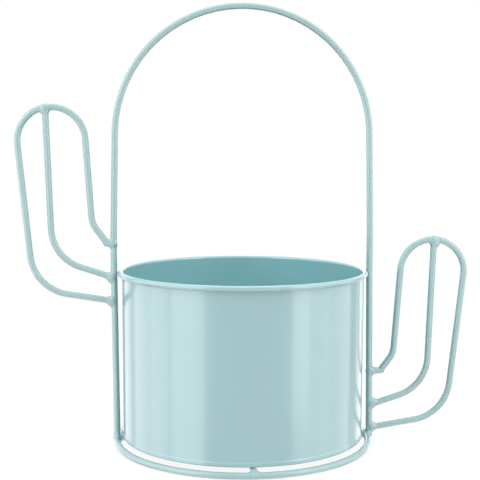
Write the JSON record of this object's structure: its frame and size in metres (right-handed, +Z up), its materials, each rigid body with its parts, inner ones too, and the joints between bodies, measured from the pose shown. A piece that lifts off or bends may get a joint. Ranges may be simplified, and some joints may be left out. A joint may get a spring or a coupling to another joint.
{
  "type": "plant pot in a wire frame",
  "caption": "Round sheet-metal plant pot standing loose in a welded wire frame shaped like a cactus, with a tall arch, bent side arms and a base ring.",
  "frame": {"origin": "on the floor at the pot's axis, under the crossing of the base wires", "axes": "+X to the right along the plane of the arch, towards the lower arm; +Y to the back; +Z up"},
  "size_m": [0.2181, 0.1248, 0.2109],
  "materials": {
    "coated_wire": "pale blue-green powder coat, glossy with a faint orange-peel texture",
    "coated_sheet": "pale blue-green powder coat, glossy and smooth"
  },
  "bodies": {
    "wire_frame": {"arch_hoop": "coated_wire", "arch_weld_left": "coated_wire", "arch_weld_right": "coated_wire", "base_ring": "coated_wire", "cross_wire_through": "coated_wire", "cross_wire_left": "coated_wire", "cross_wire_right": "coated_wire", "cross_weld_front": "coated_wire", "cross_weld_back": "coated_wire", "cross_weld_left": "coated_wire", "cross_weld_right": "coated_wire", "cross_weld_middle_left": "coated_wire", "cross_weld_middle_right": "coated_wire", "left_arm_loop": "coated_wire", "left_arm_rib": "coated_wire", "left_arm_weld_foot": "coated_wire", "left_arm_weld_rib": "coated_wire", "left_arm_weld_crown": "coated_wire", "left_arm_weld_end": "coated_wire", "right_arm_loop": "coated_wire", "right_arm_rib": "coated_wire", "right_arm_weld_foot": "coated_wire", "right_arm_weld_rib": "coated_wire", "right_arm_weld_crown": "coated_wire", "right_arm_weld_end": "coated_wire"},
    "pot": {"pot_wall": "coated_sheet", "pot_base": "coated_sheet"}
  },
  "joints": [
    {"name": "pot_draw_out", "type": "slide", "parent": "wire_frame", "child": "pot", "axis": [0, -1, 0], "range_m": [0, 0.13]}
  ]
}
